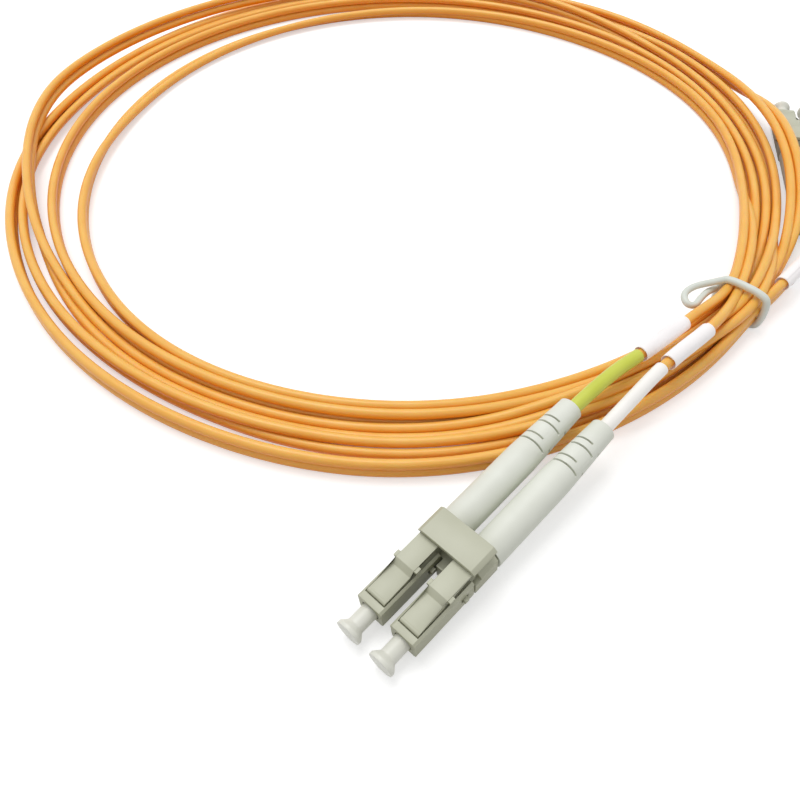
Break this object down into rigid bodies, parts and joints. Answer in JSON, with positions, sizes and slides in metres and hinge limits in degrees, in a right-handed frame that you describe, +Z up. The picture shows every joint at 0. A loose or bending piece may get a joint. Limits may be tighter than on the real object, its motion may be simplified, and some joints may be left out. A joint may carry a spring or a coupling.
{
  "type": "fibre optic patch cable",
  "caption": "Coiled duplex fibre optic patch cable: orange zip cord tied in a loop, with marked legs and a capped, latched duplex plug at each end.",
  "frame": {"origin": "on the surface it lies on, at the middle of the box round both duplex plugs, the leg markers and the tie", "axes": "+Z up, +Y away from the viewer towards the back of the coil, +X to the right, so that the near plug points to -X -Y"},
  "size_m": [0.1944, 0.2207, 0.0103],
  "materials": {
    "cord_jacket": "smooth satin vinyl",
    "plug_plastic": "satin moulded, grey-beige",
    "boot_vinyl": "matte off-white",
    "cap_plastic": "slightly translucent white",
    "ceramic": "polished white ceramic",
    "plated_brass": "nickel plated",
    "spring_steel": "bright drawn wire",
    "fibre_buffer": "smooth",
    "lime_sleeve": "satin",
    "white_sleeve": "satin",
    "label_film": "matte film",
    "tie_plastic": "satin"
  },
  "bodies": {
    "cable": {"plug_a1_housing": "plug_plastic", "plug_a1_spring": "spring_steel", "plug_a1_rear_body": "plug_plastic", "plug_a1_crimp_sleeve": "plated_brass", "plug_a1_boot": "boot_vinyl", "plug_a2_housing": "plug_plastic", "plug_a2_spring": "spring_steel", "plug_a2_rear_body": "plug_plastic", "plug_a2_crimp_sleeve": "plated_brass", "plug_a2_boot": "boot_vinyl", "plug_b1_housing": "plug_plastic", "plug_b1_spring": "spring_steel", "plug_b1_rear_body": "plug_plastic", "plug_b1_crimp_sleeve": "plated_brass", "plug_b1_boot": "boot_vinyl", "plug_b2_housing": "plug_plastic", "plug_b2_spring": "spring_steel", "plug_b2_rear_body": "plug_plastic", "plug_b2_crimp_sleeve": "plated_brass", "plug_b2_boot": "boot_vinyl", "duplex_clip_a": "plug_plastic", "duplex_clip_b": "plug_plastic", "marker_sleeve_a1": "lime_sleeve", "wrap_label_a1": "label_film", "leg_a1": "cord_jacket", "marker_sleeve_a2": "white_sleeve", "wrap_label_a2": "label_film", "leg_a2": "cord_jacket", "marker_sleeve_b1": "white_sleeve", "wrap_label_b1": "label_film", "leg_b1": "cord_jacket", "marker_sleeve_b2": "lime_sleeve", "wrap_label_b2": "label_film", "leg_b2": "cord_jacket", "cord_coil": "cord_jacket", "loose_turn": "cord_jacket", "cable_tie": "tie_plastic"},
    "trigger_a": {"clip_trigger_a": "plug_plastic"},
    "trigger_b": {"clip_trigger_b": "plug_plastic"},
    "latch_a1": {"plug_a1_latch": "plug_plastic"},
    "ferrule_a1": {"plug_a1_ferrule": "ceramic", "plug_a1_ferrule_flange": "plated_brass", "plug_a1_fibre": "fibre_buffer"},
    "cap_a1": {"plug_a1_dust_cap": "cap_plastic"},
    "latch_a2": {"plug_a2_latch": "plug_plastic"},
    "ferrule_a2": {"plug_a2_ferrule": "ceramic", "plug_a2_ferrule_flange": "plated_brass", "plug_a2_fibre": "fibre_buffer"},
    "cap_a2": {"plug_a2_dust_cap": "cap_plastic"},
    "latch_b1": {"plug_b1_latch": "plug_plastic"},
    "ferrule_b1": {"plug_b1_ferrule": "ceramic", "plug_b1_ferrule_flange": "plated_brass", "plug_b1_fibre": "fibre_buffer"},
    "cap_b1": {"plug_b1_dust_cap": "cap_plastic"},
    "latch_b2": {"plug_b2_latch": "plug_plastic"},
    "ferrule_b2": {"plug_b2_ferrule": "ceramic", "plug_b2_ferrule_flange": "plated_brass", "plug_b2_fibre": "fibre_buffer"},
    "cap_b2": {"plug_b2_dust_cap": "cap_plastic"}
  },
  "joints": [
    {"name": "trigger_a_press", "type": "hinge", "parent": "cable", "child": "trigger_a", "pos_m": [-0.03863, -0.05365, 0.00839], "axis": [0.7181, -0.6959, 0], "range_deg": [0, 8], "stiffness_Nm_per_rad": 0.08},
    {"name": "trigger_b_press", "type": "hinge", "parent": "cable", "child": "trigger_b", "pos_m": [0.04726, 0.05051, 0.00655], "axis": [-0.9803, 0.1977, 0], "range_deg": [0, 8], "stiffness_Nm_per_rad": 0.08},
    {"name": "latch_a1_flex", "type": "hinge", "parent": "cable", "child": "latch_a1", "pos_m": [-0.05092, -0.06184, 0.00534], "axis": [-0.7181, 0.6959, 0], "range_deg": [0, 3.2]},
    {"name": "ferrule_a1_float", "type": "slide", "parent": "cable", "child": "ferrule_a1", "axis": [0.6929, 0.7151, 0.0924], "range_m": [0, 0.0005], "stiffness_N_per_m": 2000, "deforming": ["plug_a1_spring"]},
    {"name": "cap_a1_pull", "type": "slide", "parent": "cable", "child": "cap_a1", "axis": [-0.6929, -0.7151, -0.0924], "range_m": [0, 0.006]},
    {"name": "latch_a2_flex", "type": "hinge", "parent": "cable", "child": "latch_a2", "pos_m": [-0.04643, -0.06619, 0.00534], "axis": [-0.7181, 0.6959, 0], "range_deg": [0, 3.2]},
    {"name": "ferrule_a2_float", "type": "slide", "parent": "cable", "child": "ferrule_a2", "axis": [0.6929, 0.7151, 0.0924], "range_m": [0, 0.0005], "stiffness_N_per_m": 2000, "deforming": ["plug_a2_spring"]},
    {"name": "cap_a2_pull", "type": "slide", "parent": "cable", "child": "cap_a2", "axis": [-0.6929, -0.7151, -0.0924], "range_m": [0, 0.006]},
    {"name": "latch_b1_flex", "type": "hinge", "parent": "cable", "child": "latch_b1", "pos_m": [0.05322, 0.06425, 0.00485], "axis": [0.9803, -0.1977, 0], "range_deg": [0, 3.2]},
    {"name": "ferrule_b1_float", "type": "slide", "parent": "cable", "child": "ferrule_b1", "axis": [-0.1977, -0.9803, 0], "range_m": [0, 0.0005], "stiffness_N_per_m": 2000, "deforming": ["plug_b1_spring"]},
    {"name": "cap_b1_pull", "type": "slide", "parent": "cable", "child": "cap_b1", "axis": [0.1977, 0.9803, 0], "range_m": [0, 0.006]},
    {"name": "latch_b2_flex", "type": "hinge", "parent": "cable", "child": "latch_b2", "pos_m": [0.04709, 0.06549, 0.00485], "axis": [0.9803, -0.1977, 0], "range_deg": [0, 3.2]},
    {"name": "ferrule_b2_float", "type": "slide", "parent": "cable", "child": "ferrule_b2", "axis": [-0.1977, -0.9803, 0], "range_m": [0, 0.0005], "stiffness_N_per_m": 2000, "deforming": ["plug_b2_spring"]},
    {"name": "cap_b2_pull", "type": "slide", "parent": "cable", "child": "cap_b2", "axis": [0.1977, 0.9803, 0], "range_m": [0, 0.006]}
  ],
  "couplings": [
    {"joint": "latch_a1_flex", "follows": "trigger_a_press", "ratio": 0.38},
    {"joint": "latch_a2_flex", "follows": "trigger_a_press", "ratio": 0.38},
    {"joint": "latch_b1_flex", "follows": "trigger_b_press", "ratio": 0.38},
    {"joint": "latch_b2_flex", "follows": "trigger_b_press", "ratio": 0.38}
  ]
}
